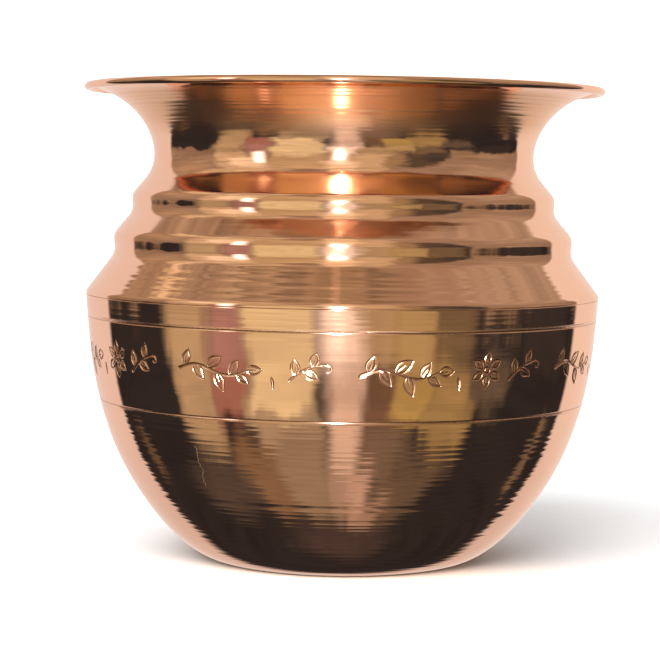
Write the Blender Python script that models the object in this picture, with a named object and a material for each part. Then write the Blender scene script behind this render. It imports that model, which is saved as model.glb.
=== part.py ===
"""Spun copper kalash (water pot) as its three physical pieces.

lower_bowl  - drawn and spun cup: flat base, belly, straight top edge at the shoulder ridge
upper_neck  - spun upper half: shoulder, two soft ribs, flared mouth, rolled rim, and the
              skirt that laps inside the bowl's top edge
braze_ring  - fillet of brazing alloy in the inside corner of that lap joint

The pot stands on +Z with the centre of its base at the origin. Lengths are in metres.
"""
import math

import bmesh
import bpy
from mathutils import Vector

MM = 0.001

# Driving dimensions
SHEET = 0.5 * MM              # wall thickness of the spun sheet
GAP = 0.3 * MM                # clearance between neighbouring pieces
BASE_RADIUS = 22.3 * MM       # edge of the flat that the pot stands on
RIDGE_RADIUS = 47.0 * MM      # largest radius of the belly, at the shoulder ridge
RIDGE_HEIGHT = 48.3 * MM      # top edge of the bowl
WAIST_RADIUS = 34.8 * MM      # narrowest point of the neck
WAIST_HEIGHT = 73.8 * MM
BEAD_RADIUS = 0.7 * MM        # section of the rolled rim
BEAD_CENTRE = (46.8 * MM, 85.9 * MM)
LAP_DEPTH = 3.7 * MM          # how far the skirt reaches down inside the bowl
FILLET_WIDTH = 0.7 * MM       # section of the brazed fillet
FILLET_HEIGHT = 1.2 * MM

SEGMENTS = 48                 # facets round the axis
CURVE_STEPS = 8               # points along one cubic curve
CORNER_STEPS = 3              # facets in one rounded corner
BEAD_STEPS = 10               # facets in the rolled rim
WELD = 1e-6                   # closes the seam of a turned surface

# Belly: the point where its two curves meet, and their handles, as (radius, height)
BELLY_JOIN = (41.7 * MM, 21.0 * MM)
BELLY_UPPER_HANDLES = ((46.3 * MM, 38.5 * MM), (45.5 * MM, 30.3 * MM))
BELLY_LOWER_HANDLES = ((37.9 * MM, 11.7 * MM), (28.8 * MM, 0.0))

# Flare from the waist to the rim
FLARE_HANDLES = ((34.8 * MM, 78.3 * MM), (38.7 * MM, 84.2 * MM))
BEAD_START = math.radians(-180)   # where the underside of the flare runs into the bead
BEAD_END = math.radians(120)      # where the bead runs into the inside of the flare

# Corners of the shoulder and the two ribs, bottom to top: radius, height, rounding
NECK_CORNERS = (
    (47.00 * MM, 49.0 * MM, 0.4 * MM),    # shoulder ridge
    (41.80 * MM, 55.9 * MM, 3.0 * MM),    # foot of the lower rib
    (42.10 * MM, 59.25 * MM, 2.4 * MM),   # top of the lower rib
    (38.55 * MM, 63.6 * MM, 3.0 * MM),    # foot of the upper rib
    (38.80 * MM, 66.55 * MM, 2.4 * MM),   # top of the upper rib
    (WAIST_RADIUS, 71.3 * MM, 6.4 * MM),  # waist
)


def clear_scene():
    for item in list(bpy.data.objects):
        bpy.data.objects.remove(item, do_unlink=True)


def metal(name, colour, roughness):
    material = bpy.data.materials.new(name)
    material.use_nodes = True
    shader = material.node_tree.nodes["Principled BSDF"]
    shader.inputs["Base Color"].default_value = (*colour, 1.0)
    shader.inputs["Metallic"].default_value = 1.0
    shader.inputs["Roughness"].default_value = roughness
    return material


def cubic(start, handle_a, handle_b, end):
    """Points of a cubic Bezier curve, both ends included."""
    points = [Vector(point) for point in (start, handle_a, handle_b, end)]
    curve = []
    for step in range(CURVE_STEPS + 1):
        t = step / CURVE_STEPS
        weights = ((1 - t) ** 3, 3 * t * (1 - t) ** 2, 3 * t * t * (1 - t), t ** 3)
        curve.append(sum((w * p for w, p in zip(weights, points)), Vector((0, 0))))
    return curve


def arc(centre, radius, start, end, steps):
    """Points of a circular arc, both ends included; a decreasing angle runs clockwise."""
    angles = [start + (end - start) * step / steps for step in range(steps + 1)]
    return [Vector(centre) + radius * Vector((math.cos(a), math.sin(a))) for a in angles]


def rounded_corner(before, corner, after, radius):
    """The arc of the given radius that rounds the corner between two straight runs."""
    corner = Vector(corner)
    to_before = (Vector(before) - corner).normalized()
    to_after = (Vector(after) - corner).normalized()
    half_angle = to_before.angle(to_after) / 2
    bisector = (to_before + to_after).normalized()
    centre = corner + bisector * radius / math.sin(half_angle)
    reach = radius / math.tan(half_angle)
    first = corner + to_before * reach - centre
    last = corner + to_after * reach - centre
    start = math.atan2(first.y, first.x)
    turn = math.atan2(first.x * last.y - first.y * last.x, first.dot(last))
    return arc(centre, radius, start, start + turn, CORNER_STEPS)


def inset(outline, distance):
    """The same curve moved sideways, to the left of its direction of travel."""
    moved = []
    for index, point in enumerate(outline):
        before = outline[max(index - 1, 0)]
        after = outline[min(index + 1, len(outline) - 1)]
        along = (after - before).normalized()
        moved.append(point + distance * Vector((-along.y, along.x)))
    return moved


def height_cut(outline, height):
    """The upper end of a rising outline, cut off level at the given height."""
    for index, (low, high) in enumerate(zip(outline, outline[1:])):
        if low.y <= height < high.y:
            cut = low.lerp(high, (height - low.y) / (high.y - low.y))
            return [cut] + outline[index + 1:]
    return outline


def belly_outline():
    """Outside of the bowl, from the edge of the flat base up to the shoulder ridge."""
    base_edge = (BASE_RADIUS, 0.0)
    ridge = (RIDGE_RADIUS, RIDGE_HEIGHT)
    lower = cubic(base_edge, BELLY_LOWER_HANDLES[1], BELLY_LOWER_HANDLES[0], BELLY_JOIN)
    upper = cubic(BELLY_JOIN, BELLY_UPPER_HANDLES[1], BELLY_UPPER_HANDLES[0], ridge)
    return lower + upper[1:]


def neck_outline():
    """Outside of the neck, from the shoulder ridge up to the rolled rim."""
    lip = (RIDGE_RADIUS, RIDGE_HEIGHT + GAP)
    waist = (WAIST_RADIUS, WAIST_HEIGHT)
    route = [lip] + [corner[:2] for corner in NECK_CORNERS] + [waist]
    outline = [Vector(lip)]
    for index, (_, _, radius) in enumerate(NECK_CORNERS):
        outline += rounded_corner(*route[index:index + 3], radius)
    rim = arc(BEAD_CENTRE, BEAD_RADIUS, BEAD_START, BEAD_END, BEAD_STEPS)
    return outline + cubic(waist, *FLARE_HANDLES, rim[0]), rim


def turned(name, outline, material, closed):
    """Revolve an outline round Z; an open outline starts and ends on the axis."""
    edge_mesh = bmesh.new()
    points = [edge_mesh.verts.new((point.x, 0.0, point.y)) for point in outline]
    pairs = list(zip(points, points[1:]))
    if closed:
        pairs.append((points[-1], points[0]))
    edges = [edge_mesh.edges.new(pair) for pair in pairs]
    bmesh.ops.spin(edge_mesh, geom=points + edges, cent=(0, 0, 0), axis=(0, 0, 1),
                   angle=2 * math.pi, steps=SEGMENTS)
    bmesh.ops.remove_doubles(edge_mesh, verts=edge_mesh.verts, dist=WELD)
    bmesh.ops.recalc_face_normals(edge_mesh, faces=edge_mesh.faces)
    mesh = bpy.data.meshes.new(name)
    edge_mesh.to_mesh(mesh)
    edge_mesh.free()
    mesh.materials.append(material)
    mesh.shade_smooth()
    mesh.set_sharp_from_angle(angle=math.radians(35))
    piece = bpy.data.objects.new(name, mesh)
    bpy.context.scene.collection.objects.link(piece)
    return piece


def lower_bowl(copper):
    outer = belly_outline()
    inner = inset(outer, SHEET)
    centre_outside = Vector((0.0, 0.0))
    centre_inside = Vector((0.0, SHEET))
    outline = [centre_outside] + outer + inner[::-1] + [centre_inside]
    turned("lower_bowl", outline, copper, closed=False)


def upper_neck(copper):
    outer, rim = neck_outline()
    inner = inset(outer[1:], SHEET)
    skirt_foot = RIDGE_HEIGHT - LAP_DEPTH
    belly = belly_outline()
    skirt_outside = height_cut(inset(belly, SHEET + GAP), skirt_foot)
    skirt_inside = height_cut(inset(belly, SHEET + GAP + SHEET), skirt_foot)
    ledge = Vector((skirt_outside[-1].x, RIDGE_HEIGHT + GAP))
    outline = skirt_outside[:-1] + [ledge] + outer + rim[1:] + inner[::-1] + skirt_inside[::-1]
    turned("upper_neck", outline, copper, closed=True)


def braze_ring(alloy):
    top = RIDGE_HEIGHT - LAP_DEPTH - GAP
    wall = height_cut(inset(belly_outline(), SHEET + GAP), top - FILLET_HEIGHT)
    foot = wall[0]
    outside_top = height_cut(wall, top)[0]
    inside_top = outside_top - Vector((FILLET_WIDTH, 0.0))
    hollow = foot.lerp(inside_top, 0.5) + Vector((0.08, -0.05)) * FILLET_WIDTH
    turned("braze_ring", [foot, outside_top, inside_top, hollow], alloy, closed=True)


def main():
    clear_scene()
    copper = metal("polished_copper", (0.88, 0.53, 0.36), 0.16)
    alloy = metal("brazing_alloy", (0.80, 0.68, 0.42), 0.42)
    lower_bowl(copper)
    upper_neck(copper)
    braze_ring(alloy)


main()
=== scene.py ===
"""Looks of the spun copper kalash: two turned shells and a brazed fillet on the CAD frame.

Lengths are in millimetres until a mesh is written, because tool marks are fractions of one,
and in metres in the shaders and on the stage, as in the frame.
"""

import math

import bpy
import numpy as np
from mathutils import Euler, Matrix, Vector
from mathutils.geometry import delaunay_2d_cdt


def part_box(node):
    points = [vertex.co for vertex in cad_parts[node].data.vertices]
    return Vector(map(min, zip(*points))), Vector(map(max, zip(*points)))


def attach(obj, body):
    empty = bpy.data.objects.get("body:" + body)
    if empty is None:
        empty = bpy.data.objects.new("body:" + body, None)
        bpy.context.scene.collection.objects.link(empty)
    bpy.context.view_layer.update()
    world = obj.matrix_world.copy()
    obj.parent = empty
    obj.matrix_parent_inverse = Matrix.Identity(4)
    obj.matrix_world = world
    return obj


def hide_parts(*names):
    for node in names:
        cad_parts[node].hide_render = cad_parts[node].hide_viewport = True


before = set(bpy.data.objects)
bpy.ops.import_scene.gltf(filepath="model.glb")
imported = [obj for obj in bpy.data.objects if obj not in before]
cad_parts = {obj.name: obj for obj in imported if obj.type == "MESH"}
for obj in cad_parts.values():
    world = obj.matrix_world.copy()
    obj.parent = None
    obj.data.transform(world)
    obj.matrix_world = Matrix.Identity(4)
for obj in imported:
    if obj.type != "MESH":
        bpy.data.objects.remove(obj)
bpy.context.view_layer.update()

MM = 0.001
SHEET = 0.5  # wall thickness
SEAM = 0.03  # hairline left between the two shells at the ridge
EDGE = 0.06  # rounding of sheared sheet edges
LAP_GAP = 0.3  # clearance between the bowl and the skirt inside it
FILLET_WIDTH = 0.7  # of the brazing alloy, across the top
HUB = 0.4  # radius of the last ring before a pole
PROBE, FINE_PROBE = 0.02, 0.012  # steps over which the slope of the relief is measured

# The same driving outline as the CAD parts, from the frame where it can be read off
RIM_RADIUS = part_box("upper_neck")[1].x / MM
RIM_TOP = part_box("upper_neck")[1].z / MM
SKIRT_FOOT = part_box("upper_neck")[0].z / MM
RIDGE_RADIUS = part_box("lower_bowl")[1].x / MM
RIDGE_HEIGHT = 48.3
BASE_RADIUS = 22.3
WAIST_RADIUS, WAIST_HEIGHT = 34.8, 73.8
BEAD_RADIUS = 0.7
BEAD_CENTRE = (RIM_RADIUS - BEAD_RADIUS, RIM_TOP - BEAD_RADIUS)
BELLY_JOIN = (41.7, 21.0)
BELLY_LOWER_HANDLES = ((28.8, 0.0), (37.9, 11.7))
BELLY_UPPER_HANDLES = ((45.5, 30.3), (46.3, 38.5))
FLARE_HANDLES = ((34.8, 78.3), (38.7, 84.2))
NECK_CORNERS = (  # radius, height, rounding
    (47.00, 48.95, 0.9),  # shoulder ridge
    (41.80, 55.9, 3.0),  # foot of the lower rib
    (42.10, 59.25, 2.4),  # top of the lower rib
    (38.55, 63.6, 3.0),  # foot of the upper rib
    (38.80, 66.55, 2.4),  # top of the upper rib
    (WAIST_RADIUS, 71.3, 6.4),  # waist
)

# The engraved band
LOWER_LINE, UPPER_LINE = 29.4, 44.4  # heights of the two lines round the belly
LINE_HALF_WIDTH, LINE_DEPTH = 0.18, 0.085
LINE_ROWS = (-1.25, -0.85, -0.45, 0.0, 0.45, 0.85, 1.25)  # rings over a line, in half widths
LINE_MARGIN = 0.45  # room that the plain rings leave on each side of a line
BAND_RADIUS = 46.2  # turns lengths round the belly into angles
BAND_START = math.radians(27.4 - 90.0)  # a gap in the ornament, where its repeat begins
REPEATS = 4
GROOVE_DEPTH = 0.55  # depth of a cut stroke over its half width
FULL_CUT = 0.16  # depth at which a cut is as dark as it gets
POINT_GAP = 0.057  # least distance between two mesh points in the cuts
MOTIF_SCALE = 1.14
BAND_RIPPLE = 0.35  # how strongly the band shows turning marks, 0 to 1

SCRATCH_AZIMUTH = -35.0  # degrees from the front, minus to the left
SCRATCH_HEIGHTS = (16.5, 24.5)

SEGMENTS = 192  # vertices round a plain ring
FINE_SEGMENTS = 768  # round the engraved lines
# Distances between rings
FINE_SPACING = 0.22  # where marks show, and along the strokes
EDGE_SPACING = 0.3  # at the ridge and the rim
PLAIN_SPACING = 0.9  # on the flat base and inside the neck
TURN_LIMIT = math.radians(9)  # most that an outline bends between two rings


# ======== outlines
def unit(vectors):
    return vectors / np.maximum(np.linalg.norm(vectors, axis=-1, keepdims=True), 1e-9)


def polar(radius, angle):
    return radius * np.stack([np.cos(angle), np.sin(angle)], -1)


def cubic(start, handle_a, handle_b, end, steps=400):
    t = np.linspace(0, 1, steps + 1)[:, None]
    a, b, c, d = (np.array(p, float) for p in (start, handle_a, handle_b, end))
    return (1 - t) ** 3 * a + 3 * t * (1 - t) ** 2 * b + 3 * t * t * (1 - t) * c + t ** 3 * d


def arc(centre, radius, start, end, steps=24):
    return np.array(centre) + polar(radius, np.linspace(start, end, steps + 1))


def rounded(route):
    """A smooth polyline through (radius, height, rounding) corners; both ends stay sharp."""
    pieces = [np.array([route[0][:2]], float)]
    for before, here, after in zip(route, route[1:], route[2:]):
        corner = np.array(here[:2], float)
        to_before, to_after = (unit(np.array(point[:2]) - corner) for point in (before, after))
        half_angle = math.acos(np.clip(to_before @ to_after, -1, 1)) / 2
        centre = corner + unit(to_before + to_after) * here[2] / math.sin(half_angle)
        reach = here[2] / math.tan(half_angle)
        first = corner + to_before * reach - centre
        last = corner + to_after * reach - centre
        turn = math.atan2(first[0] * last[1] - first[1] * last[0], first @ last)
        start = math.atan2(first[1], first[0])
        pieces.append(arc(centre, here[2], start, start + turn))
    pieces.append(np.array([route[-1][:2]], float))
    return np.vstack(pieces)


def step_between(value, low, high):
    return min(1.0, max(0.0, (value - low) / (high - low)))


def plateau(value, start, full, ebb, end):
    """1 between full and ebb, 0 outside start and end, with straight ramps between."""
    return step_between(value, start, full) * step_between(end - value, 0.0, end - ebb)


def inset(outline, distance):
    """The outline moved to the left of its own direction, which is into the metal."""
    along = unit(np.gradient(outline, axis=0))
    return outline + distance * np.stack([-along[:, 1], along[:, 0]], 1)


def run_along(points):
    return np.r_[0, np.cumsum(np.linalg.norm(np.diff(points, axis=0), axis=1))]


def at_lengths(line, run, length):
    return np.column_stack([np.interp(length, run, column) for column in line.T])


def dense(outline, step=0.02):
    """The same outline with a point every step mm, its normals and its running length."""
    outline = outline[np.r_[True, np.linalg.norm(np.diff(outline, axis=0), axis=1) > 1e-6]]
    run = run_along(outline)
    length = np.linspace(0, run[-1], int(run[-1] / step) + 2)
    points = at_lengths(outline, run, length)
    along = np.gradient(points, axis=0)
    kernel = np.ones(5) / 5
    padded = np.pad(along, ((2, 2), (0, 0)), mode="edge")
    along = unit(np.stack([np.convolve(padded[:, axis], kernel, "valid") for axis in (0, 1)], 1))
    normals = np.stack([along[:, 1], -along[:, 0]], 1)
    return points, normals, length


def stations(outline, spacing):
    """Rows (radius, height, normal r, normal z, length) at most spacing(point) apart."""
    points, normals, length = dense(outline)
    heading = np.unwrap(np.arctan2(normals[:, 1], normals[:, 0]))
    kept, last = [0], 0
    for index in range(1, len(points)):
        far = length[index] - length[last] >= spacing(points[index])
        bent = abs(heading[index] - heading[last]) >= TURN_LIMIT
        if far or bent:
            kept.append(index)
            last = index
    if kept[-1] != len(points) - 1:
        kept.append(len(points) - 1)
    return np.column_stack([points, normals, length])[kept]


# Outside of the bowl from the edge of the flat base up to the ridge
BELLY = np.vstack([
    cubic((BASE_RADIUS, 0), *BELLY_LOWER_HANDLES, BELLY_JOIN),
    cubic(BELLY_JOIN, *BELLY_UPPER_HANDLES, (RIDGE_RADIUS, RIDGE_HEIGHT))[1:],
])


def belly_radius(height):
    return np.interp(height, BELLY[:, 1], BELLY[:, 0])


def belly_slope(height, reach=0.05):
    return (belly_radius(height + reach) - belly_radius(height - reach)) / (2 * reach)


# ======== tool marks
class Marks:
    """Shallow scallops that the spinning tool leaves side by side along the outline."""

    def __init__(self, seed, length, pitch, slope):
        random = np.random.default_rng(seed)
        count = int(length / pitch * 1.3) + 3
        pitches = pitch * random.uniform(0.6, 1.4, count)
        self.crests = np.r_[-2.0, np.cumsum(pitches) - 2.0]
        self.depths = slope * pitches / 4 * random.uniform(0.35, 1.0, count)
        self.turns = random.uniform(0, 2 * math.pi, count)

    def height(self, length, angle):
        """Height in mm over the crests, which wander a little round the pot."""
        place = length + 0.07 * np.sin(angle + 1.0) + 0.03 * np.sin(3 * angle + length / 7)
        index = np.clip(np.searchsorted(self.crests, place) - 1, 0, len(self.depths) - 1)
        across = (place - self.crests[index]) / (self.crests[index + 1] - self.crests[index])
        across = np.clip(across, 0, 1)
        turn = self.turns[index]
        uneven = 1 + 0.3 * np.sin(2 * angle + turn) + 0.15 * np.sin(5 * angle - turn)
        return -4 * self.depths[index] * uneven * across * (1 - across)


# Waves round the pot: size in mm, how many in a turn, slant in radians per mm, phase.
# The first set is the sheet's slow unevenness, the second the lumps on the ribs.
WAVINESS = ((0.016, 2, 0.07, 0.6), (0.007, 5, -0.21, 2.1), (0.0035, 9, 0.34, 4.0),
            (0.0020, 17, -0.5, 1.0))
LUMPS = ((0.010, 9, 1.1, 0.0), (0.008, 21, -1.5, 1.3), (0.005, 38, 2.1, 2.2), (0.0025, 67, -2.6, 0.4))


def waves(terms, angle, height):
    return sum(size * np.sin(count * angle + slant * height + phase)
               for size, count, slant, phase in terms)


def neck_lumps(angle, height):
    """Rings on the shoulder, and lumps that the beading roller leaves on the ribs."""
    rings = 0.012 * np.sin(4.4 * height + 1.6 * np.sin(2 * angle + 0.5) + 0.8 * np.sin(5 * angle))
    rings += 0.007 * np.sin(7.3 * height - 2.1 * np.sin(3 * angle + 1.1))
    rings *= 0.50 - 0.40 * np.cos(angle)  # fainter on the right of the pot
    lumps = waves(LUMPS, angle, height)
    lumps *= 0.65 + 0.35 * np.cos(4 * angle)  # fainter between front, sides and back
    on_shoulder = plateau(height, 49.6, 50.6, 54.2, 55.2)
    on_ribs = plateau(height, 54.5, 56.5, 74.5, 77.0)
    return rings * on_shoulder + lumps * on_ribs


# ======== shells
def linked(name, data):
    item = bpy.data.objects.new(name, data)
    bpy.context.scene.collection.objects.link(item)
    return item


class Shell:
    """Collects rings of vertices with their normals, then writes one closed mesh.

    Every vertex carries four numbers for the shader: along, its running length down the outline
    in mm; cut, 0 to 1 for how deep it lies in a cut; and ripple and satin, from finish(height),
    for how strong the turning marks are and how dull the polish is.
    """

    def __init__(self, marks, finish, lumps=lambda angle, height: 0.0):
        self.points, self.normals, self.faces, self.slots = [], [], [], []
        self.values = {"along": [], "cut": [], "ripple": [], "satin": []}
        self.size = 0
        self.marks, self.finish, self.lumps = marks, finish, lumps

    def add(self, points, normals, along, cut, finish):
        first = self.size
        self.points.append(points)
        self.normals.append(normals)
        for column, value in zip(self.values.values(), (along, cut, *finish)):
            column.append(np.broadcast_to(value, len(points)))
        self.size += len(points)
        return np.arange(first, self.size)

    def relief(self, station, angle, shift=0.0):
        """Height of the tool marks and unevenness at a station moved by shift mm along it."""
        radius, height, _, normal_z, length = station
        level = height + shift * math.sqrt(max(0.0, 1 - normal_z ** 2))
        fade = min(1.0, radius / 20) * (1 - abs(normal_z) ** 4)
        total = (waves(WAVINESS, angle, level) + self.lumps(angle, level)) * fade
        return total + self.finish(height)[0] * self.marks.height(length + shift, angle)

    def ring(self, station, count=SEGMENTS, cut_height=0.0, cut_slope=0.0, cut=0.0):
        """One ring of vertices at a station, moved by marks and cuts, with normals to match."""
        radius, height, normal_r, normal_z, length = station
        angle = BAND_START + 2 * math.pi * np.arange(count) / count
        nudge = 0.001  # radians
        rise = self.relief(station, angle) + cut_height
        ahead, behind = (self.relief(station, angle, step) for step in (PROBE, -PROBE))
        slope = (ahead - behind) / (2 * PROBE) + cut_slope
        before, after = (self.relief(station, angle + turn) for turn in (-nudge, nudge))
        swing = (after - before) / (2 * nudge)
        out = radius + rise * normal_r
        up = height + rise * normal_z
        nr = normal_r + slope * normal_z
        nz = normal_z - slope * normal_r
        nt = -swing / max(radius, 0.5)
        points = np.stack([out * np.cos(angle), out * np.sin(angle), up + 0 * angle], 1)
        normals = np.stack([nr * np.cos(angle) - nt * np.sin(angle),
                            nr * np.sin(angle) + nt * np.cos(angle), nz + 0 * angle], 1)
        return self.add(points, normals, length, cut, self.finish(height))

    def pole(self, height, normal_z, length):
        return self.add(np.array([[0.0, 0.0, height]]), np.array([[0.0, 0.0, normal_z]]),
                        length, 0.0, self.finish(height))

    def extend(self, faces, slot):
        self.faces.extend(faces.tolist())
        self.slots.extend([slot] * len(faces))

    def bridge(self, low, high, slot):
        """Faces between two rings; the finer ring's count is a multiple of the other's."""
        if len(low) == 1 or len(high) == 1:
            self.fan(low, high, slot)
        elif len(low) == len(high):
            self.extend(np.stack([low, np.roll(low, -1), np.roll(high, -1), high], 1), slot)
        else:
            self.graded(low, high, slot)

    def fan(self, low, high, slot):
        """Triangles between a ring and a pole."""
        from_pole = len(low) == 1
        pole, ring = (low[0], high) if from_pole else (high[0], low)
        corners = [ring, np.roll(ring, -1), np.full(len(ring), pole)]
        self.extend(np.stack(corners[::-1] if from_pole else corners, 1), slot)

    def graded(self, low, high, slot):
        """Triangles between a coarse ring and a finer one."""
        coarse, fine = (low, high) if len(low) < len(high) else (high, low)
        ratio = len(fine) // len(coarse)
        middle = ratio // 2
        triangles = []
        for index, corner in enumerate(coarse):
            following = coarse[(index + 1) % len(coarse)]
            edge = [fine[(index * ratio + k) % len(fine)] for k in range(ratio + 1)]
            triangles += [(corner, b, a) for a, b in zip(edge[:middle], edge[1:middle + 1])]
            triangles.append((corner, following, edge[middle]))
            triangles += [(following, b, a) for a, b in zip(edge[middle:], edge[middle + 1:])]
        faces = np.array(triangles)
        if coarse is high:
            faces = faces[:, ::-1]
        self.extend(faces, slot)

    def build(self, name, materials):
        points = np.vstack(self.points) * MM
        normals = unit(np.vstack(self.normals))
        mesh = bpy.data.meshes.new(name)
        mesh.from_pydata(points.tolist(), [], self.faces)
        for material in materials:
            mesh.materials.append(material)
        mesh.polygons.foreach_set("material_index", self.slots)
        for label, values in self.values.items():
            layer = mesh.attributes.new(label, "FLOAT", "POINT")
            layer.data.foreach_set("value", np.concatenate(values).astype(np.float32))
        mesh.shade_smooth()
        mesh.update()
        mesh.normals_split_custom_set_from_vertices(normals.tolist())
        return linked(name, mesh)


# ======== engraved ornament
def pairs(x, y):
    return np.column_stack(np.broadcast_arrays(x, y))


def placed(points, origin, angle):
    c, s = math.cos(angle), math.sin(angle)
    return np.array(points) @ np.array([[c, s], [-s, c]]) + np.array(origin)


def stroke(points, widths):
    """A cut line: one row (x, y, half width) for each of its points."""
    return np.column_stack([points, np.broadcast_to(widths, len(points))])


def leaf(origin, angle, length, width, line=0.24):
    """A pointed leaf drawn with two sides and a short midrib."""
    t, rib = np.linspace(0, 1, 13), np.linspace(0.15, 0.62, 5)
    side = width / 2 * np.sin(math.pi * t ** 0.85)
    taper = line * (0.55 + 0.45 * np.sin(math.pi * t))
    lines = ((t, side, taper), (t, -side, taper), (rib, 0.0, line * np.linspace(0.75, 0.35, 5)))
    return [stroke(placed(pairs(length * along, across), origin, angle), widths)
            for along, across, widths in lines]


def stem(start, end, bend, line=0.30, wave=1.0):
    """A tapering stalk that swings to one side and back."""
    t = np.linspace(0, 1, 22)
    start, end = np.array(start, float), np.array(end, float)
    along = end - start
    across = np.array([-along[1], along[0]]) / np.linalg.norm(along)
    points = start + t[:, None] * along + bend * np.sin(wave * math.pi * t)[:, None] * across
    return points, stroke(points, line * (1.0 - 0.4 * t))


def curl(origin, angle, radius, turn, line=0.22):
    """A small spiral tendril."""
    t = np.linspace(0, 1, 18)
    reach = radius * (1 - 0.72 * t)
    quarter = math.copysign(math.pi / 2, turn)
    swing = angle - quarter + turn * t
    points = np.array(origin) + polar(radius, angle + quarter) + polar(reach[:, None], swing)
    return stroke(points, line * (1 - 0.45 * t))


def leaves_along(spine, leaves, spread_angle, fullness):
    """Leaves on a stalk, each given as (point of the spine, side, length)."""
    strokes = []
    for place, side, size in leaves:
        heading = spine[place + 1] - spine[place]
        angle = math.atan2(heading[1], heading[0]) + side * math.radians(spread_angle)
        strokes += leaf(spine[place], angle, size, fullness * size)
    return strokes


def long_sprig():
    """A wavy stalk with leaves in pairs and a bud, about 14 mm long."""
    spine, cut = stem((-6.7, -0.5), (5.0, 0.1), 0.75, wave=2.0)
    leaves = ((2, 1, 2.6), (5, -1, 2.8), (9, 1, 3.1), (12, -1, 3.0), (16, 1, 2.7), (18, -1, 2.3))
    bud = leaf(spine[-1], math.radians(8), 2.3, 1.25)
    return [cut] + leaves_along(spine, leaves, 52, 0.46) + bud


def short_sprig():
    """A bent stalk with three leaves and a tendril, about 7 mm long."""
    spine, cut = stem((-3.1, -1.5), (2.2, 1.0), 0.55)
    leaves = ((4, 1, 2.4), (9, -1, 2.5), (14, 1, 2.2))
    tendril = curl(spine[-1], math.radians(20), 0.75, -4.6)
    return [cut] + leaves_along(spine, leaves, 58, 0.48) + [tendril]


def flower():
    """Six petals round a small ring."""
    strokes = []
    for turn in range(6):
        angle = math.radians(60 * turn + 30)
        strokes += leaf(polar(0.85, angle), angle, 2.0, 1.15, line=0.22)
    strokes.append(stroke(polar(0.46, np.linspace(0, 2 * math.pi, 15)), 0.20))
    return strokes


def seed_mark():
    """One tapered comma of the graver."""
    t = np.linspace(0, 1, 7)
    points = np.column_stack([0.25 * np.sin(2.2 * t), 0.85 - 1.7 * t])
    return [stroke(points, 0.15 + 0.15 * np.sin(math.pi * (1 - t) ** 1.4))]


# One repeat of the ornament: motif, its angle from the front, its height over the mid line
ORNAMENT = (
    (flower, -58.0, 0.1),
    (short_sprig, -47.3, 0.2),
    (long_sprig, -27.0, 0.0),
    (seed_mark, -14.6, -2.0),
    (short_sprig, -6.2, 0.1),
    (long_sprig, 13.6, -0.1),
    (seed_mark, 25.2, -2.0),
)
BAND_MIDDLE = 37.9


def groove(distance):
    """Depth, 0 to 1, of a cut at a distance of 0 to 1 from its middle: a V with soft corners."""
    soft = 0.22
    x = np.clip(distance, 0, 1)
    peak = 1 - soft
    near = peak - x * x / (2 * soft)
    wall = peak - soft / 2 - (x - soft)
    far = (1 - x) ** 2 / (2 * soft)
    depth = np.where(x < soft, near, np.where(x < 1 - soft, wall, far))
    return depth / peak


def cut_depth(strokes, points):
    """Deepest cut at each point in mm, and how close the point is to a cut, in half widths."""
    depth = np.zeros(len(points))
    closeness = np.full(len(points), 9.0)
    for line in strokes:
        a, b = line[:-1], line[1:]
        run = b[:, :2] - a[:, :2]
        square = np.maximum((run ** 2).sum(1), 1e-9)
        offset = points[:, None, :] - a[None, :, :2]
        t = np.clip((offset * run).sum(2) / square, 0, 1)
        gap = np.linalg.norm(offset - t[..., None] * run, axis=2)
        width = a[:, 2] + t * (b[:, 2] - a[:, 2])
        ratio = gap / width
        depth = np.maximum(depth, (GROOVE_DEPTH * width * groove(ratio)).max(1))
        closeness = np.minimum(closeness, ratio.min(1))
    return depth, closeness


def hand_cut(strokes, centre, random):
    """One repeat of a motif in band coordinates, with the small errors of engraving by hand."""
    tilt = math.radians(random.normal(0, 1.6))
    scale = MOTIF_SCALE + random.normal(0, 0.025)
    pressure = 1 + random.normal(0, 0.07)
    moved = []
    for line in strokes:
        points = placed(line[:, :2] * scale, centre + random.normal(0, 0.03, 2), tilt)
        knots = np.arange(0, len(points) + 4, 4)
        wobble = np.interp(np.arange(len(points)), knots, random.normal(0, 0.03, len(knots)))
        width = line[:, 2] * MOTIF_SCALE * pressure * (1 + random.normal(0, 0.04, len(points)))
        moved.append(np.column_stack([points[:, 0] + wobble, points[:, 1] - wobble, width]))
    return moved


def resampled(line):
    run = run_along(line[:, :2])
    return at_lengths(line, run, np.linspace(0, run[-1], max(3, int(run[-1] / FINE_SPACING) + 1)))


# Mesh rows over half a groove, in half widths. The row outside the cut comes first, so that it
# is never dropped as too close to another: it keeps the slope of the cut's wall inside the cut.
ACROSS = (1.16, 0.0, 0.24, 0.52, 0.80, 1.0)


def mesh_points(strokes):
    """Points that follow each groove, dropped where another groove is nearer."""
    rows = {offset: [] for offset in ACROSS}
    for line in strokes:
        line = resampled(line)
        heading = unit(np.gradient(line[:, :2], axis=0))
        side = np.column_stack([-heading[:, 1], heading[:, 0]])
        for offset in ACROSS:
            for sign in ((1, -1) if offset else (1,)):
                rows[offset].append(line[:, :2] + sign * offset * line[:, 2:3] * side)
        for end, outward in ((line[0], -heading[0]), (line[-1], heading[-1])):
            around = math.atan2(outward[1], outward[0]) + np.radians([-60, -30, 0, 30, 60])
            for offset in ACROSS:
                if offset > 0.5:
                    rows[offset].append(end[:2] + offset * polar(end[2], around))
    chosen = []
    for offset, groups in rows.items():
        points = np.vstack(groups)
        closeness = cut_depth(strokes, points)[1]
        least = min(offset - 0.04, 1.03)  # past 1 a point is outside every cut
        chosen.append(points[closeness > least])
    return np.vstack(chosen)


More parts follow.
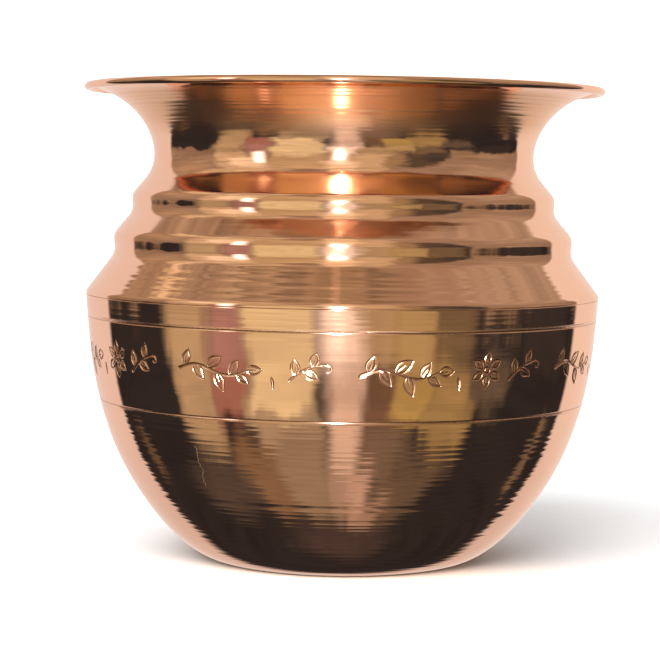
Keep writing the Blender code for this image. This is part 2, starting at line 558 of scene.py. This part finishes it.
def spread(points, gap):
    """Drops points that crowd an earlier one within about the gap."""
    taken, kept = {}, []
    for index, (x, y) in enumerate(points):
        cell = (int(math.floor(x / gap)), int(math.floor(y / gap)))
        around = ((cell[0] + i, cell[1] + j) for i in (-1, 0, 1) for j in (-1, 0, 1))
        near = [taken[key] for key in around if key in taken]
        if all((points[k][0] - x) ** 2 + (points[k][1] - y) ** 2 > gap * gap for k in near):
            taken[cell] = index
            kept.append(index)
    return points[kept]


class Band:
    """The belly between the two engraved lines, meshed repeat by repeat round the ornament."""

    grid = 0.95  # distance between the plain points
    clear = 1.9  # plain points keep this many half widths away from a cut
    margin = 0.35  # and this far from the column where one repeat meets the next

    def __init__(self, shell, low, high, low_height, high_height):
        self.shell, self.low, self.high = shell, low, high
        self.low_height, self.high_height = low_height, high_height
        rows = int((high_height - low_height) / self.grid)
        self.levels = np.linspace(low_height, high_height, rows + 1)[1:-1]
        self.width = 2 * math.pi * BAND_RADIUS / REPEATS
        starts = (k * self.width for k in range(REPEATS))
        self.columns = [self.place(pairs(start, self.levels), []) for start in starts]
        random = np.random.default_rng(5)
        for repeat in range(REPEATS):
            self.fill(repeat, random)

    def place(self, flat, strokes):
        """Adds band points (distance round, height) to the shell with relief and normals."""
        def depth_at(x, y):
            return cut_depth(strokes, pairs(x, y))[0] if strokes else np.zeros(len(x))

        def surface(x, y):
            return waves(WAVINESS, BAND_START + x / BAND_RADIUS, y) - depth_at(x, y)

        x, y = flat[:, 0], flat[:, 1]
        step = FINE_PROBE
        rise = surface(x, y)
        across = (surface(x + step, y) - surface(x - step, y)) / (2 * step)
        upward = (surface(x, y + step) - surface(x, y - step)) / (2 * step) + belly_slope(y)
        angle = BAND_START + x / BAND_RADIUS
        radius = belly_radius(y) + rise
        points = np.stack([radius * np.cos(angle), radius * np.sin(angle), y], 1)
        normals = np.stack([np.cos(angle) + across * np.sin(angle),
                            np.sin(angle) - across * np.cos(angle), -upward], 1)
        cut = np.sqrt(np.clip(depth_at(x, y) / FULL_CUT, 0, 1))
        return self.shell.add(points, normals, y, cut, (BAND_RIPPLE, 0.0))

    def fill(self, repeat, random):
        start = repeat * self.width
        motifs = []
        for draw, degrees, rise in ORNAMENT:
            turn = math.radians(degrees + 360 / REPEATS * repeat) - BAND_START
            centre = np.array([turn * BAND_RADIUS, BAND_MIDDLE + rise])
            motifs.append(hand_cut(draw(), centre, random))
        strokes = [line for motif in motifs for line in motif]
        cut_points = spread(np.vstack([mesh_points(motif) for motif in motifs]), POINT_GAP)
        xs = np.arange(start + self.grid / 2, start + self.width - 0.3, self.grid)
        grid = np.array([(x + (0.5 * self.grid if row % 2 else 0) - 0.2, y)
                         for row, y in enumerate(self.levels) for x in xs])
        from_start = grid[:, 0] - start
        grid = grid[(from_start > self.margin) & (from_start < self.width - self.margin)]
        grid = grid[cut_depth(strokes, grid)[1] > self.clear]
        inner = np.vstack([cut_points, grid])
        inner_ids = self.place(inner, strokes)
        quarter = FINE_SEGMENTS // REPEATS
        steps = np.arange(quarter + 1)
        around = start + self.width * steps / quarter
        part = (repeat * quarter + steps) % FINE_SEGMENTS
        left, right = self.columns[repeat], self.columns[(repeat + 1) % REPEATS]
        flat = np.vstack([pairs(around, self.low_height), pairs(around, self.high_height),
                          pairs(start, self.levels), pairs(start + self.width, self.levels), inner])
        ids = np.concatenate([self.low[part], self.high[part], left, right, inner_ids])
        shifted = flat - np.array([start + self.width / 2, BAND_MIDDLE])
        result = delaunay_2d_cdt([Vector(p) for p in shifted], [], [], 0, 1e-5, True)
        sources = [group[0] for group in result[3]]
        triangles = np.array([[sources[k] for k in face] for face in result[2]])
        a, b, c = (flat[triangles[:, k]] for k in range(3))
        ab, ac = b - a, c - a
        area = ab[:, 0] * ac[:, 1] - ab[:, 1] * ac[:, 0]
        triangles[area < 0] = triangles[area < 0][:, ::-1]
        self.shell.extend(ids[triangles], 0)


# ======== pieces
OUTSIDE, INSIDE = 0, 1


def chain(shell, rings, slot):
    for low, high in zip(rings, rings[1:]):
        shell.bridge(low, high, slot)


def bowl_finish(height):
    """Ripple and satin, 0 to 1: turning marks are strong under the lower line and on the base."""
    return BAND_RIPPLE + (1 - BAND_RIPPLE) * step_between(LOWER_LINE - height, 0.3, 2.5), 0.0


def engraved_line(shell, middle, random):
    """Rings across one V-cut line, from bottom to top, with the uneven bite of the tool."""
    rings = []
    chatter = 0.16 * np.sin(2 * math.pi * np.arange(FINE_SEGMENTS) / 3.4)
    wear = 1 + chatter + random.normal(0, 0.10, FINE_SEGMENTS)
    for offset in LINE_ROWS:
        height = middle + offset * LINE_HALF_WIDTH
        depth, ahead, behind = LINE_DEPTH * groove(np.abs([offset, offset + PROBE, offset - PROBE]))
        slope = -(ahead - behind) / (2 * PROBE * LINE_HALF_WIDTH)
        slope_r = belly_slope(height)
        size = math.hypot(1, slope_r)
        station = (belly_radius(height), height, 1 / size, -slope_r / size, height)
        rings.append(shell.ring(station, FINE_SEGMENTS, -depth * wear, slope * wear,
                                cut=0.8 * depth / LINE_DEPTH))
    return rings


def bowl_shell(materials):
    shell = Shell(Marks(seed=3, length=90, pitch=1.0, slope=0.085), bowl_finish)
    random = np.random.default_rng(8)
    base = stations(np.array([(HUB, 0.0), (BASE_RADIUS, 0.0)]), lambda point: PLAIN_SPACING)
    below = BELLY[BELLY[:, 1] < LOWER_LINE - LINE_MARGIN]
    above = BELLY[BELLY[:, 1] > UPPER_LINE + LINE_MARGIN]
    top = rounded([
        (*above[-2], 0),
        (RIDGE_RADIUS, RIDGE_HEIGHT, EDGE),
        (RIDGE_RADIUS - SHEET, RIDGE_HEIGHT, EDGE),
        (RIDGE_RADIUS - SHEET - 0.02, RIDGE_HEIGHT - 0.4, 0),
    ])
    inner = inset(BELLY, SHEET)
    inner = inner[inner[:, 1] < RIDGE_HEIGHT - 0.5][::-1]
    bottom_inside = np.array([(BASE_RADIUS, SHEET), (HUB, SHEET)])

    fine = stations(below, lambda point: FINE_SPACING if point[1] > 1.5 else 0.4)
    rings = [shell.pole(0.0, -1.0, 0.0)] + [shell.ring(s) for s in np.vstack([base, fine[1:]])]
    low_line = engraved_line(shell, LOWER_LINE, random)
    high_line = engraved_line(shell, UPPER_LINE, random)
    chain(shell, rings + low_line, OUTSIDE)
    reach = LINE_ROWS[-1] * LINE_HALF_WIDTH
    Band(shell, low_line[-1], high_line[0], LOWER_LINE + reach, UPPER_LINE - reach)
    upper = stations(np.vstack([above[:-2], top]), lambda point: EDGE_SPACING)
    upper = [shell.ring(s) for s in upper]
    chain(shell, high_line + upper, OUTSIDE)
    lining = stations(np.vstack([inner, bottom_inside]), lambda point: 1.3)
    lining_rings = [shell.ring(s) for s in lining]
    lining_rings.append(shell.pole(SHEET, 1.0, lining[-1][4] + HUB))
    chain(shell, [upper[-1]] + lining_rings, INSIDE)
    join_frame(shell.build("bowl_shell", materials), "lower_bowl")


def neck_finish(height):
    """Marks show on the shoulder and the satin flare; the mop barely reached the hollows."""
    shoulder = step_between(54.5 - height, 0.0, 1.5)
    hollow = plateau(height, 59.6, 60.6, 63.4, 64.4)
    waist = plateau(height, 66.9, 68.0, 70.4, 71.6)
    flare = plateau(height, 76.0, 79.5, 84.6, 85.2)
    ripple = 0.12 + max(0.55 * shoulder, 2.0 * flare)
    satin = max(flare, 0.3 * waist, 0.25 * hollow)
    return ripple, satin


def neck_shell(materials):
    shell = Shell(Marks(seed=14, length=130, pitch=0.95, slope=0.085), neck_finish, neck_lumps)
    ledge = RIDGE_HEIGHT + SEAM
    skirt_out, skirt_in = (
        face[(face[:, 1] > SKIRT_FOOT) & (face[:, 1] < RIDGE_HEIGHT - room)]
        for face, room in ((inset(BELLY, SHEET + LAP_GAP), 0.6),
                           (inset(BELLY, 2 * SHEET + LAP_GAP), 0.3)))
    step = rounded([
        (*skirt_out[-1], 0),
        (skirt_out[-1][0] + 0.04, ledge, 0.1),
        (RIDGE_RADIUS, ledge, EDGE),
        *NECK_CORNERS,
        (WAIST_RADIUS, WAIST_HEIGHT, 0),
    ])
    bead = arc(BEAD_CENTRE, BEAD_RADIUS, -math.pi * 0.98, math.radians(114), 60)
    flare = cubic((WAIST_RADIUS, WAIST_HEIGHT), *FLARE_HANDLES, bead[0])
    inside = inset(np.vstack([step[step[:, 1] > 49.4], flare[1:]]), SHEET)[::-1]
    inside = inside[inside[:, 0] < bead[-1][0] - 0.15]
    outline = np.vstack([skirt_out, step[1:], flare[1:], bead[1:], inside, skirt_in[::-1]])

    def spacing(point):
        on_skirt, on_rim = point[1] < RIDGE_HEIGHT, point[1] > 84
        return 0.8 if on_skirt else (EDGE_SPACING if on_rim else FINE_SPACING)

    split = len(skirt_out) + len(step) - 1 + len(flare) - 1 + len(bead) - 1
    outer = [shell.ring(s) for s in stations(outline[:split], spacing)]
    lining = [shell.ring(s) for s in stations(outline[split:], lambda point: PLAIN_SPACING)]
    chain(shell, outer, OUTSIDE)
    chain(shell, [outer[-1]] + lining + [outer[0]], INSIDE)
    join_frame(shell.build("neck_shell", materials), "upper_neck")


def braze_fillet(material):
    """A run of brazing alloy with a slightly lumpy, hollow face."""
    low, high = (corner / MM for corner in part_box("braze_ring"))
    wall = inset(BELLY, SHEET + LAP_GAP)
    foot, top = (np.array([np.interp(z, wall[:, 1], wall[:, 0]), z]) for z in (low.z, high.z))
    lip = top - np.array([FILLET_WIDTH, 0.0])
    hollow = (foot + lip) / 2 + np.array([0.08, -0.05])
    route = [(*((foot + top) / 2), 0), (*top, 0.06), (*lip, 0.05), (*hollow, 1.6), (*foot, 0.05),
             (*((foot + top) / 2), 0)]
    outline = rounded(route)[:-1]
    shell = Shell(Marks(seed=21, length=10, pitch=0.7, slope=0.02), lambda height: (1.0, 0.0))
    random = np.random.default_rng(4)
    count = 2 * SEGMENTS
    angle = 2 * math.pi * np.arange(count) / count
    lump = sum(0.03 * np.sin(k * angle + random.uniform(0, 6.28)) / (1 + k / 20)
               for k in (7, 13, 22, 37, 51))
    rings = [shell.ring(s, count, cut_height=lump if s[2] < 0 else 0.0)  # lumpy where it faces in
             for s in stations(outline, lambda point: FINE_SPACING)]
    chain(shell, rings + [rings[0]], OUTSIDE)
    join_frame(shell.build("braze_fillet", [material]), "braze_ring")


def join_frame(piece, node):
    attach(piece, "root")
    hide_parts(node)


# ======== shader nodes
def add_node(tree, kind, inputs=None, **settings):
    item = tree.nodes.new("ShaderNode" + kind)
    for key, value in settings.items():
        setattr(item, key, value)
    fill_in(tree, item, inputs or {})
    return item


def fill_in(tree, item, inputs):
    for key, value in inputs.items():
        connect(tree, value, item.inputs[key])


def connect(tree, value, socket):
    if isinstance(value, bpy.types.NodeSocket):
        tree.links.new(value, socket)
    else:
        socket.default_value = value


def calc(tree, operation, *values):
    item = add_node(tree, "Math", operation=operation)
    for value, socket in zip(values, item.inputs):
        connect(tree, value, socket)
    return item.outputs[0]


def times(tree, first, second):
    return calc(tree, "MULTIPLY", first, second)


def ramp(tree, value, low, high, start=0.0, end=1.0):
    """Smoothly from start to end while the value goes from low to high."""
    item = add_node(tree, "MapRange", {"Value": value, "From Min": low, "From Max": high,
                                       "To Min": start, "To Max": end},
                    interpolation_type="SMOOTHSTEP")
    return item.outputs["Result"]


def blend_colour(tree, factor, first, second, mode="MIX"):
    item = add_node(tree, "Mix", data_type="RGBA", blend_type=mode)
    fill_in(tree, item, {0: factor, 6: first, 7: second})
    return item.outputs[2]


def noise(tree, vector, scale, detail=2.0, roughness=0.5, distortion=0.0):
    item = add_node(tree, "TexNoise", {"Vector": vector, "Scale": scale, "Detail": detail,
                                       "Roughness": roughness, "Distortion": distortion})
    return item.outputs["Fac"]


def new_material(name):
    material = bpy.data.materials.new(name)
    material.use_nodes = True
    tree = material.node_tree
    return material, tree, tree.nodes["Principled BSDF"]


def attribute(tree, name):
    node = add_node(tree, "Attribute", attribute_name=name, attribute_type="GEOMETRY")
    return node.outputs["Fac"]


def position(tree):
    return add_node(tree, "TexCoord").outputs["Object"]


def bump(tree, shader, height, distance, strength=1.0):
    node = add_node(tree, "Bump", {"Height": height, "Strength": strength, "Distance": distance})
    fill_in(tree, shader, {"Normal": node.outputs["Normal"]})


def turned_space(tree, per_metre, per_mm):
    """A vector that runs slowly round and across the pot and fast along its outline."""
    split = add_node(tree, "SeparateXYZ", {"Vector": position(tree)}).outputs
    return add_node(tree, "CombineXYZ", {
        "X": times(tree, split["X"], per_metre),
        "Y": times(tree, split["Y"], per_metre),
        "Z": times(tree, attribute(tree, "along"), per_mm),
    }).outputs["Vector"]


# Colours of the metals, as linear light
COPPER, COPPER_SMUDGED = (0.93, 0.595, 0.44, 1), (0.91, 0.565, 0.40, 1)
COPPER_STREAKED, COPPER_SATIN = (0.90, 0.545, 0.375, 1), (0.81, 0.49, 0.30, 1)
TARNISH = (0.34, 0.17, 0.095, 1)
INSIDE_COPPER, INSIDE_STAIN = (0.86, 0.53, 0.385, 1), (0.72, 0.39, 0.25, 1)
INSIDE_STREAK = (0.78, 0.47, 0.33, 1)
ALLOY, ALLOY_PATCH = (0.80, 0.69, 0.44, 1), (0.55, 0.40, 0.24, 1)
# Roughness of the polish, and what a cut, a satin surface and a scratch add to it
POLISH, CUT_DULL, SATIN_DULL, SCRATCH_DULL = 0.055, 0.21, 0.15, 0.45
MARK_HEIGHT = 0.000042  # of the finest turning marks


def polished_copper(name):
    material, tree, shader = new_material(name)
    place = position(tree)
    cut, ripple, satin = (attribute(tree, label) for label in ("cut", "ripple", "satin"))
    streaks = noise(tree, turned_space(tree, 22.0, 0.95), 1.0)
    hairlines = noise(tree, turned_space(tree, 60.0, 3.6), 1.0, 3.0, 0.65)
    smudges = noise(tree, place, 70.0, 3.0, 0.55, 0.6)
    specks = noise(tree, place, 900.0, 2.0, 0.6)

    colour = blend_colour(tree, ramp(tree, smudges, 0.35, 0.75), COPPER, COPPER_SMUDGED)
    colour = blend_colour(tree, ramp(tree, streaks, 0.5, 0.9, 0.0, 0.4), colour, COPPER_STREAKED)
    colour = blend_colour(tree, times(tree, satin, satin), colour, COPPER_SATIN)
    colour = blend_colour(tree, times(tree, cut, 0.9), colour, TARNISH)

    dull = calc(tree, "ADD", ramp(tree, smudges, 0.45, 0.8, 0.0, 0.03),
                ramp(tree, specks, 0.62, 0.75, 0.0, 0.015))
    for mask, more in ((cut, CUT_DULL), (satin, SATIN_DULL), (scratch_mask(tree, place), SCRATCH_DULL)):
        dull = calc(tree, "MULTIPLY_ADD", mask, more, dull)

    marks = calc(tree, "MULTIPLY_ADD", hairlines, 0.16, streaks)
    strength = calc(tree, "MULTIPLY_ADD", ripple, 0.6, 0.10)
    bump(tree, shader, times(tree, marks, strength), MARK_HEIGHT)
    turned_metal(tree, shader, colour, calc(tree, "ADD", dull, POLISH))
    return material


def azimuth_of(tree, x, y):
    """Degrees round the pot from the front, minus to the left."""
    return calc(tree, "DEGREES", calc(tree, "ARCTAN2", x, times(tree, y, -1.0)))


def scratch_mask(tree, place):
    """One hair-thin wandering scratch, low on the belly to the left of the front."""
    x, y, z = add_node(tree, "SeparateXYZ", {"Vector": place}).outputs
    wander = noise(tree, times(tree, z, 1000.0), 0.22, 3.0, 0.7)
    path = calc(tree, "MULTIPLY_ADD", wander, 6.0, SCRATCH_AZIMUTH - 3.0)
    aside = calc(tree, "ABSOLUTE", calc(tree, "SUBTRACT", azimuth_of(tree, x, y), path))
    low, high = SCRATCH_HEIGHTS
    fade = 0.6
    ends = times(tree, ramp(tree, z, low * MM, (low + fade) * MM),
                ramp(tree, z, (high - fade) * MM, high * MM, 1.0, 0.0))
    return times(tree, ramp(tree, aside, 0.04, 0.14, 1.0, 0.0), ends)


def dull_copper(name):
    """The inside: spun but not polished, a little pinker and rougher."""
    material, tree, shader = new_material(name)
    streaks = noise(tree, turned_space(tree, 22.0, 1.5), 1.0, 4.0, 0.65)
    stains = noise(tree, position(tree), 45.0, 4.0, 0.6, 0.8)
    colour = blend_colour(tree, ramp(tree, stains, 0.42, 0.72), INSIDE_COPPER, INSIDE_STAIN)
    colour = blend_colour(tree, ramp(tree, streaks, 0.35, 0.8, 0.0, 0.6), colour, INSIDE_STREAK)
    dull = calc(tree, "ADD", ramp(tree, stains, 0.3, 0.8, 0.24, 0.36),
                ramp(tree, streaks, 0.3, 0.8, 0.0, 0.07))
    bump(tree, shader, streaks, 0.000012)
    turned_metal(tree, shader, colour, dull)
    return material


def turned_metal(tree, shader, colour, roughness):
    """Highlights stretch across the turning marks, up and down the pot."""
    tangent = add_node(tree, "Tangent", direction_type="RADIAL", axis="Z").outputs["Tangent"]
    fill_in(tree, shader, {"Base Color": colour, "Roughness": roughness, "Metallic": 1.0,
                           "Specular Tint": (0.97, 0.90, 0.86, 1), "Anisotropic": 0.8,
                           "Anisotropic Rotation": 0.25, "Tangent": tangent})


def brazing_alloy(name):
    material, tree, shader = new_material(name)
    patches = noise(tree, position(tree), 260.0, 4.0, 0.65, 0.5)
    grain = noise(tree, position(tree), 1400.0, 3.0, 0.6)
    colour = blend_colour(tree, ramp(tree, patches, 0.35, 0.7), ALLOY, ALLOY_PATCH)
    bump(tree, shader, grain, 0.00003, strength=0.6)
    fill_in(tree, shader, {"Base Color": colour, "Metallic": 1.0,
                           "Roughness": ramp(tree, patches, 0.3, 0.8, 0.34, 0.58)})
    return material


# ======== stage
EYE = (0.0, -0.413, 0.070)  # the camera's place
PAPER, PAPER_FIBRE = (0.86, 0.86, 0.86, 1), (0.89, 0.885, 0.88, 1)


def turned(item, quaternion):
    item.rotation_mode = "QUATERNION"
    item.rotation_quaternion = quaternion


def camera():
    """A long lens a little above the pot, turned slightly down and to the right."""
    data = bpy.data.cameras.new("camera")
    data.lens = 122.2
    data.clip_start, data.clip_end = 0.01, 20
    item = linked("camera", data)
    pitch, yaw, roll = math.radians(3.82), math.radians(0.30), math.radians(0.72)
    turn = Euler((math.pi / 2 - pitch, 0, yaw), "XYZ").to_matrix() @ Matrix.Rotation(roll, 3, "Z")
    turned(item, turn.to_quaternion())
    item.location = EYE
    bpy.context.scene.camera = item


def turned_sheet(name, profile, count=96):
    """A sheet of revolution: (radius, height) rings from the outside of a flat centre outwards."""
    turns = [2 * math.pi * k / count for k in range(count)]
    points = [(radius * math.cos(a), radius * math.sin(a), height)
              for radius, height in profile for a in turns]
    points.append((0, 0, profile[0][1]))
    sides = [(k, (k + 1) % count) for k in range(count)]
    faces = [(row * count + a, (row + 1) * count + a, (row + 1) * count + b, row * count + b)
             for row in range(len(profile) - 1) for a, b in sides]
    faces += [(len(points) - 1, a, b) for a, b in sides]
    mesh = bpy.data.meshes.new(name)
    mesh.from_pydata(points, [], faces)
    mesh.shade_smooth()
    return linked(name, mesh)


def pale_floor():
    """A floor that sweeps up into a round backdrop, seen only by the camera; it takes shadows."""
    floor = turned_sheet("floor", [(0.9, 0.0), (1.3, 0.06), (1.6, 0.25), (1.75, 0.6), (1.8, 1.4)])
    material, tree, shader = new_material("pale_paper")
    fibres = noise(tree, position(tree), 900.0, 3.0, 0.6)
    paper = blend_colour(tree, ramp(tree, fibres, 0.3, 0.7), PAPER, PAPER_FIBRE)
    fill_in(tree, shader, {"Base Color": paper, "Roughness": 0.9, "Specular IOR Level": 0.0})
    floor.data.materials.append(material)
    floor.visible_glossy = floor.visible_diffuse = floor.visible_shadow = False


# Soft panels of the studio as the pot sees them, each painted over those before it: colour,
# azimuth from and to (0 is towards the camera, minus is left), elevation from and to, and how
# far each edge fades, all in degrees.
PANELS = (
    # underfoot, then above the horizon
    ((0.075, 0.06, 0.055), -180, 180, -100, -77, 6),  # ground near the foot
    ((0.38, 0.29, 0.21), -180, 180, -4, 90, 3),  # warm room
    ((0.32, 0.24, 0.17), -120, -84, -5, 4, 2),
    ((0.34, 0.26, 0.17), 65, 84, -9, 4, 3),
    ((0.49, 0.36, 0.24), -128, -93, 12, 42, 6),
    ((0.41, 0.30, 0.215), -180, 180, 42, 90, 8),  # ceiling
    ((0.36, 0.27, 0.19), -122, -84, 36, 60, 5),
    ((0.64, 0.52, 0.35), -82, -38, 42, 60, 6),
    ((0.48, 0.38, 0.28), 82, 180, 22, 90, 9),
    ((0.45, 0.345, 0.23), -100, 46, 56, 67, 5),
    ((0.26, 0.19, 0.125), -130, 72, 67, 78, 7),
    ((0.46, 0.33, 0.21), -34, 24, 65, 80, 6),
    ((0.66, 0.47, 0.31), -10, -2, 64, 80, 2),
    ((0.70, 0.55, 0.36), -82, -58, -4, 18, 4),  # left wall
    ((0.67, 0.54, 0.37), -84, -44, 18, 42, 6),
    ((0.80, 0.64, 0.41), -115, -20, 34, 43, 3),
    ((1.02, 0.89, 0.66), -72, -53, 9, 35, 5),
    ((0.59, 0.46, 0.27), -45, -12, 0, 40, 5),
    ((0.66, 0.52, 0.33), 5, 28, -5, 56, 4),  # right wall
    ((0.36, 0.27, 0.15), 24, 38, 0, 32, 4),
    ((0.11, 0.085, 0.06), 36, 57, -4, 30, 4),  # doorway
    ((0.075, 0.065, 0.06), 50, 64, -10, 12, 3),
    ((0.045, 0.04, 0.042), 88, 118, -12, -4, 2),
    ((0.98, 0.78, 0.52), -12, 8, 20, 62, 5),  # glow over the camera
    # below the horizon, left to right
    ((0.15, 0.11, 0.07), -123, -116, -34, -22, 2),
    ((0.10, 0.085, 0.07), -100, -40, -62, -42, 6),
    ((0.50, 0.41, 0.25), -84, -61, -38, -4, 4),  # amber cloth
    ((0.43, 0.26, 0.24), -61, -45, -18, -4, 3),  # rose cloth
    ((0.41, 0.205, 0.17), -62, -46, -31, -17, 3),
    ((0.25, 0.175, 0.10), -64, -30, -70, -38, 5),
    ((0.84, 0.75, 0.46), -45, -12, -32, 3, 4),  # pale wood
    ((0.47, 0.39, 0.27), -44, -10, -41, -32, 4),
    ((0.33, 0.27, 0.18), -38, -8, -75, -39, 5),
    ((0.50, 0.40, 0.24), 4, 25, -20, -4, 4),
    ((0.19, 0.125, 0.08), 10, 27, -38, -21, 4),
    ((0.20, 0.155, 0.11), 10, 36, -60, -37, 5),
    ((0.48, 0.39, 0.19), 23, 43, -22, -6, 4),  # olive cloth
    ((0.49, 0.39, 0.14), 24, 44, -33, -20, 3),
    ((0.20, 0.155, 0.09), 42, 60, -19, -5, 4),
    ((0.37, 0.29, 0.13), 42, 65, -39, -18, 3),
    ((0.14, 0.12, 0.09), 62, 84, -25, -14, 3),
    ((0.145, 0.115, 0.08), 34, 66, -76, -42, 6),
    ((0.44, 0.33, 0.25), 14, 46, -77, -64, 5),
    ((0.20, 0.155, 0.10), 114, 122, -35, -20, 2),
    # the bright middle, from the floor up to the light
    ((0.42, 0.33, 0.25), -9, 6, -75, -50, 5),
    ((0.56, 0.43, 0.34), 4, 22, -72, -50, 5),
    ((0.76, 0.62, 0.51), -6, 9, -50, -20, 4),
    ((1.05, 0.94, 0.86), -10, 7, -20, -4, 5),
)
DARK = (0.030, 0.029, 0.031)
# Lamps, painted last: colour, strength, azimuth, elevation, half width, half height, fade
LAMPS = (
    ((1.0, 0.97, 0.95), 2.8, -52, 9, 3, 13, 3),
    ((1.0, 0.86, 0.68), 1.3, -1.5, 9, 5, 20, 4),
    ((1.0, 0.96, 0.90), 5.0, -1.5, 4, 2, 6, 3),
)
PAPER_LEFT, PAPER_RIGHT = (0.91, 0.81, 0.77), (0.98, 0.87, 0.79)
WARP = 9.0  # degrees by which cloth and walls stray from straight edges


def window_mask(tree, value, low, high, soft):
    rise = ramp(tree, value, low - soft, low + soft)
    fall = ramp(tree, value, high - soft, high + soft, 1.0, 0.0)
    return times(tree, rise, fall)


def painted(tree, base, azimuth, elevation, tint, box, soft):
    """The base with one soft-edged panel over it; at 90 up and 180 round it has no edge."""
    left, right, bottom, top = box
    mask = window_mask(tree, elevation, bottom, 120 if top == 90 else top, soft)
    if right - left < 360:
        side = window_mask(tree, azimuth, left, 220 if right == 180 else right, soft)
        mask = times(tree, mask, side)
    return blend_colour(tree, mask, base, (*tint, 1))


def mottled(tree, colour, x, y, elevation):
    """The colour with level streaks of light and shade, stronger high up and calmer on the right."""
    layered = add_node(tree, "CombineXYZ", {
        "X": times(tree, x, 1.6), "Y": times(tree, y, 1.6),
        "Z": calc(tree, "DIVIDE", elevation, 3.6)}).outputs["Vector"]
    streaks = ramp(tree, noise(tree, layered, 1.0, 3.0, 0.6), 0.25, 0.75, -1.0, 1.0)
    overhead = ramp(tree, x, 0.0, 0.4, 0.62, 0.22)
    strength = ramp(tree, elevation, 28, 48, 0.20, overhead)
    value = calc(tree, "MULTIPLY_ADD", streaks, strength, 1.0)
    grey = add_node(tree, "CombineColor", {"Red": value, "Green": value, "Blue": value})
    return blend_colour(tree, 1.0, colour, grey.outputs["Color"], mode="MULTIPLY")


def white_paper(tree, x, elevation):
    """The paper behind the pot: two tints, left and right, a little darker low down."""
    tint = blend_colour(tree, ramp(tree, x, -0.5, 0.5), (*PAPER_LEFT, 1), (*PAPER_RIGHT, 1))
    low = (*(0.84 * c for c in PAPER_LEFT), 1)
    return blend_colour(tree, ramp(tree, elevation, -38, -8), low, tint)


def surroundings():
    """What the polished metal reflects, as smooth procedural panels round the pot."""
    world = bpy.data.worlds.new("studio")
    world.use_nodes = True
    bpy.context.scene.world = world
    tree = world.node_tree
    direction = add_node(tree, "TexCoord").outputs["Generated"]
    x, y, z = add_node(tree, "SeparateXYZ", {"Vector": direction}).outputs
    azimuth = azimuth_of(tree, x, y)
    elevation = calc(tree, "DEGREES", calc(tree, "ARCSINE", z))
    swirl = add_node(tree, "TexNoise", {"Vector": direction, "Scale": 5.0, "Detail": 3.0})
    stray = add_node(tree, "SeparateColor", {"Color": swirl.outputs["Color"]}).outputs
    warp = ramp(tree, elevation, 36, 56, WARP, 0.3 * WARP)
    bent_azimuth, bent_elevation = (
        calc(tree, "MULTIPLY_ADD", calc(tree, "MULTIPLY_ADD", stray[channel], 2.0, -1.0), warp, angle)
        for angle, channel in ((azimuth, "Red"), (elevation, "Green")))
    colour = (*DARK, 1)
    for tint, *box, soft in PANELS:
        colour = painted(tree, colour, bent_azimuth, bent_elevation, tint, box, soft)
    colour = mottled(tree, colour, x, y, elevation)
    near_edge, far_edge = (math.cos(math.radians(angle)) for angle in (55, 51.5))
    behind = times(tree, ramp(tree, y, near_edge, far_edge), ramp(tree, elevation, -44, -37))
    colour = blend_colour(tree, behind, colour, white_paper(tree, x, elevation))
    for tint, strength, az, el, wide, tall, soft in LAMPS:
        glow, box = tuple(strength * c for c in tint), (az - wide, az + wide, el - tall, el + tall)
        colour = painted(tree, colour, azimuth, elevation, glow, box, soft)
    fill_in(tree, tree.nodes["Background"], {"Color": colour})
    world.cycles_visibility.diffuse = False


def floor_light(name, toward, spread, strength):
    """Soft light on the floor and backdrop; the metal mirrors the panels round it instead."""
    data = bpy.data.lights.new(name, "SUN")
    data.energy = strength
    data.angle = math.radians(spread)
    item = linked(name, data)
    turned(item, Vector(toward).to_track_quat("Z", "Y"))
    item.visible_glossy = False


def sparkle_light():
    """A small hard light just behind the camera, for the streak down the middle of the metal."""
    data = bpy.data.lights.new("sparkle", "AREA")
    data.shape = "DISK"
    data.size = 0.012
    data.energy = 8.0
    item = linked("sparkle", data)
    item.location = (-0.015, -0.420, 0.080)
    turned(item, (Vector((0, 0, 0.05)) - item.location).to_track_quat("-Z", "Y"))
    item.visible_diffuse = item.visible_camera = False


def stage():
    scene = bpy.context.scene
    scene.view_settings.view_transform = "Standard"
    camera()
    pale_floor()
    surroundings()
    floor_light("softbox_front", (-0.45, -0.75, 0.75), 60, 3.9)
    floor_light("softbox_top", (0.1, -0.2, 1.0), 120, 2.8)
    sparkle_light()


def main():
    stage()
    outside = polished_copper("polished_copper")
    inside = dull_copper("inside_copper")
    bowl_shell([outside, inside])
    neck_shell([outside, inside])
    braze_fillet(brazing_alloy("brazing_alloy"))


main()
